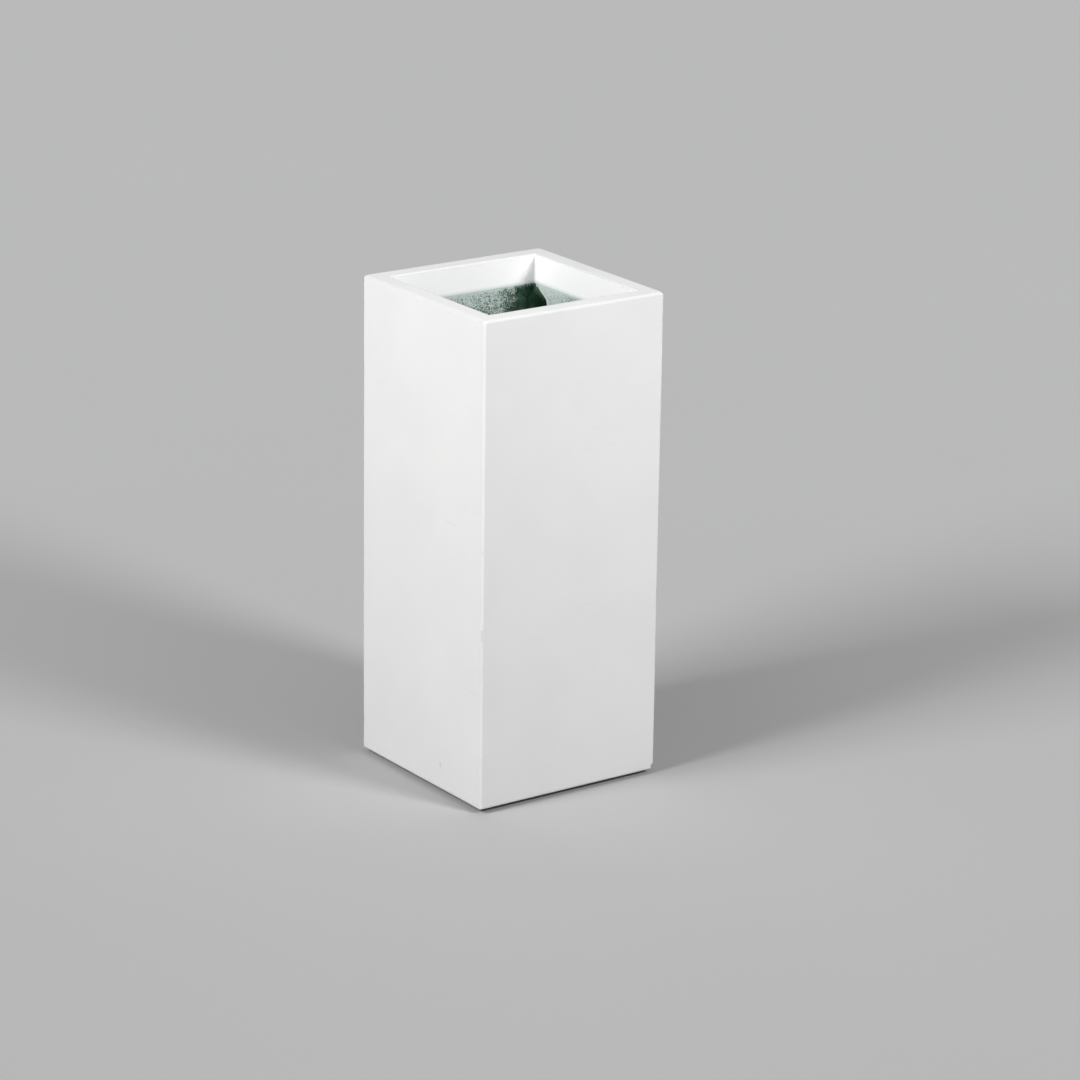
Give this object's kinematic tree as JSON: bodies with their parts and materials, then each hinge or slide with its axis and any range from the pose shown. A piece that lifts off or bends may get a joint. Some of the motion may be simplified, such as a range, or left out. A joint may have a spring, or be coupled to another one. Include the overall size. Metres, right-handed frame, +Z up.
{
  "type": "tall square planter",
  "caption": "Tall square fibreglass floor planter with a flat rim, painted return band, raw laminate cavity, lift-out drain plug and rubber feet.",
  "frame": {"origin": "on the floor under the middle of the planter, at the centre of its bounding box's bottom", "axes": "+Z up, along the height; the front faces -Y and the right side +X"},
  "size_m": [0.3, 0.3, 0.7063],
  "materials": {
    "white_paint": "satin",
    "raw_laminate": "satin",
    "plywood": "matte",
    "underside_laminate": "matte",
    "grey_plastic": "satin",
    "plug_rubber": "matte",
    "foot_rubber": "matte",
    "zinc_steel": "satin"
  },
  "bodies": {
    "planter": {"outer_shell": "white_paint", "inner_lining": "raw_laminate", "wall_board_front": "plywood", "wall_board_back": "plywood", "wall_board_left": "plywood", "wall_board_right": "plywood", "base_board": "plywood", "base_skin": "underside_laminate", "drain_bush": "grey_plastic", "foot_front_left": "foot_rubber", "foot_front_right": "foot_rubber", "foot_back_left": "foot_rubber", "foot_back_right": "foot_rubber", "foot_washer_front_left": "zinc_steel", "foot_washer_front_right": "zinc_steel", "foot_washer_back_left": "zinc_steel", "foot_washer_back_right": "zinc_steel", "foot_screw_front_left": "zinc_steel", "foot_screw_front_right": "zinc_steel", "foot_screw_back_left": "zinc_steel", "foot_screw_back_right": "zinc_steel"},
    "plug": {"drain_plug": "plug_rubber"}
  },
  "joints": [
    {"name": "drain_plug_lift", "type": "slide", "parent": "planter", "child": "plug", "axis": [0, 0, 1], "range_m": [0, 0.72]}
  ]
}
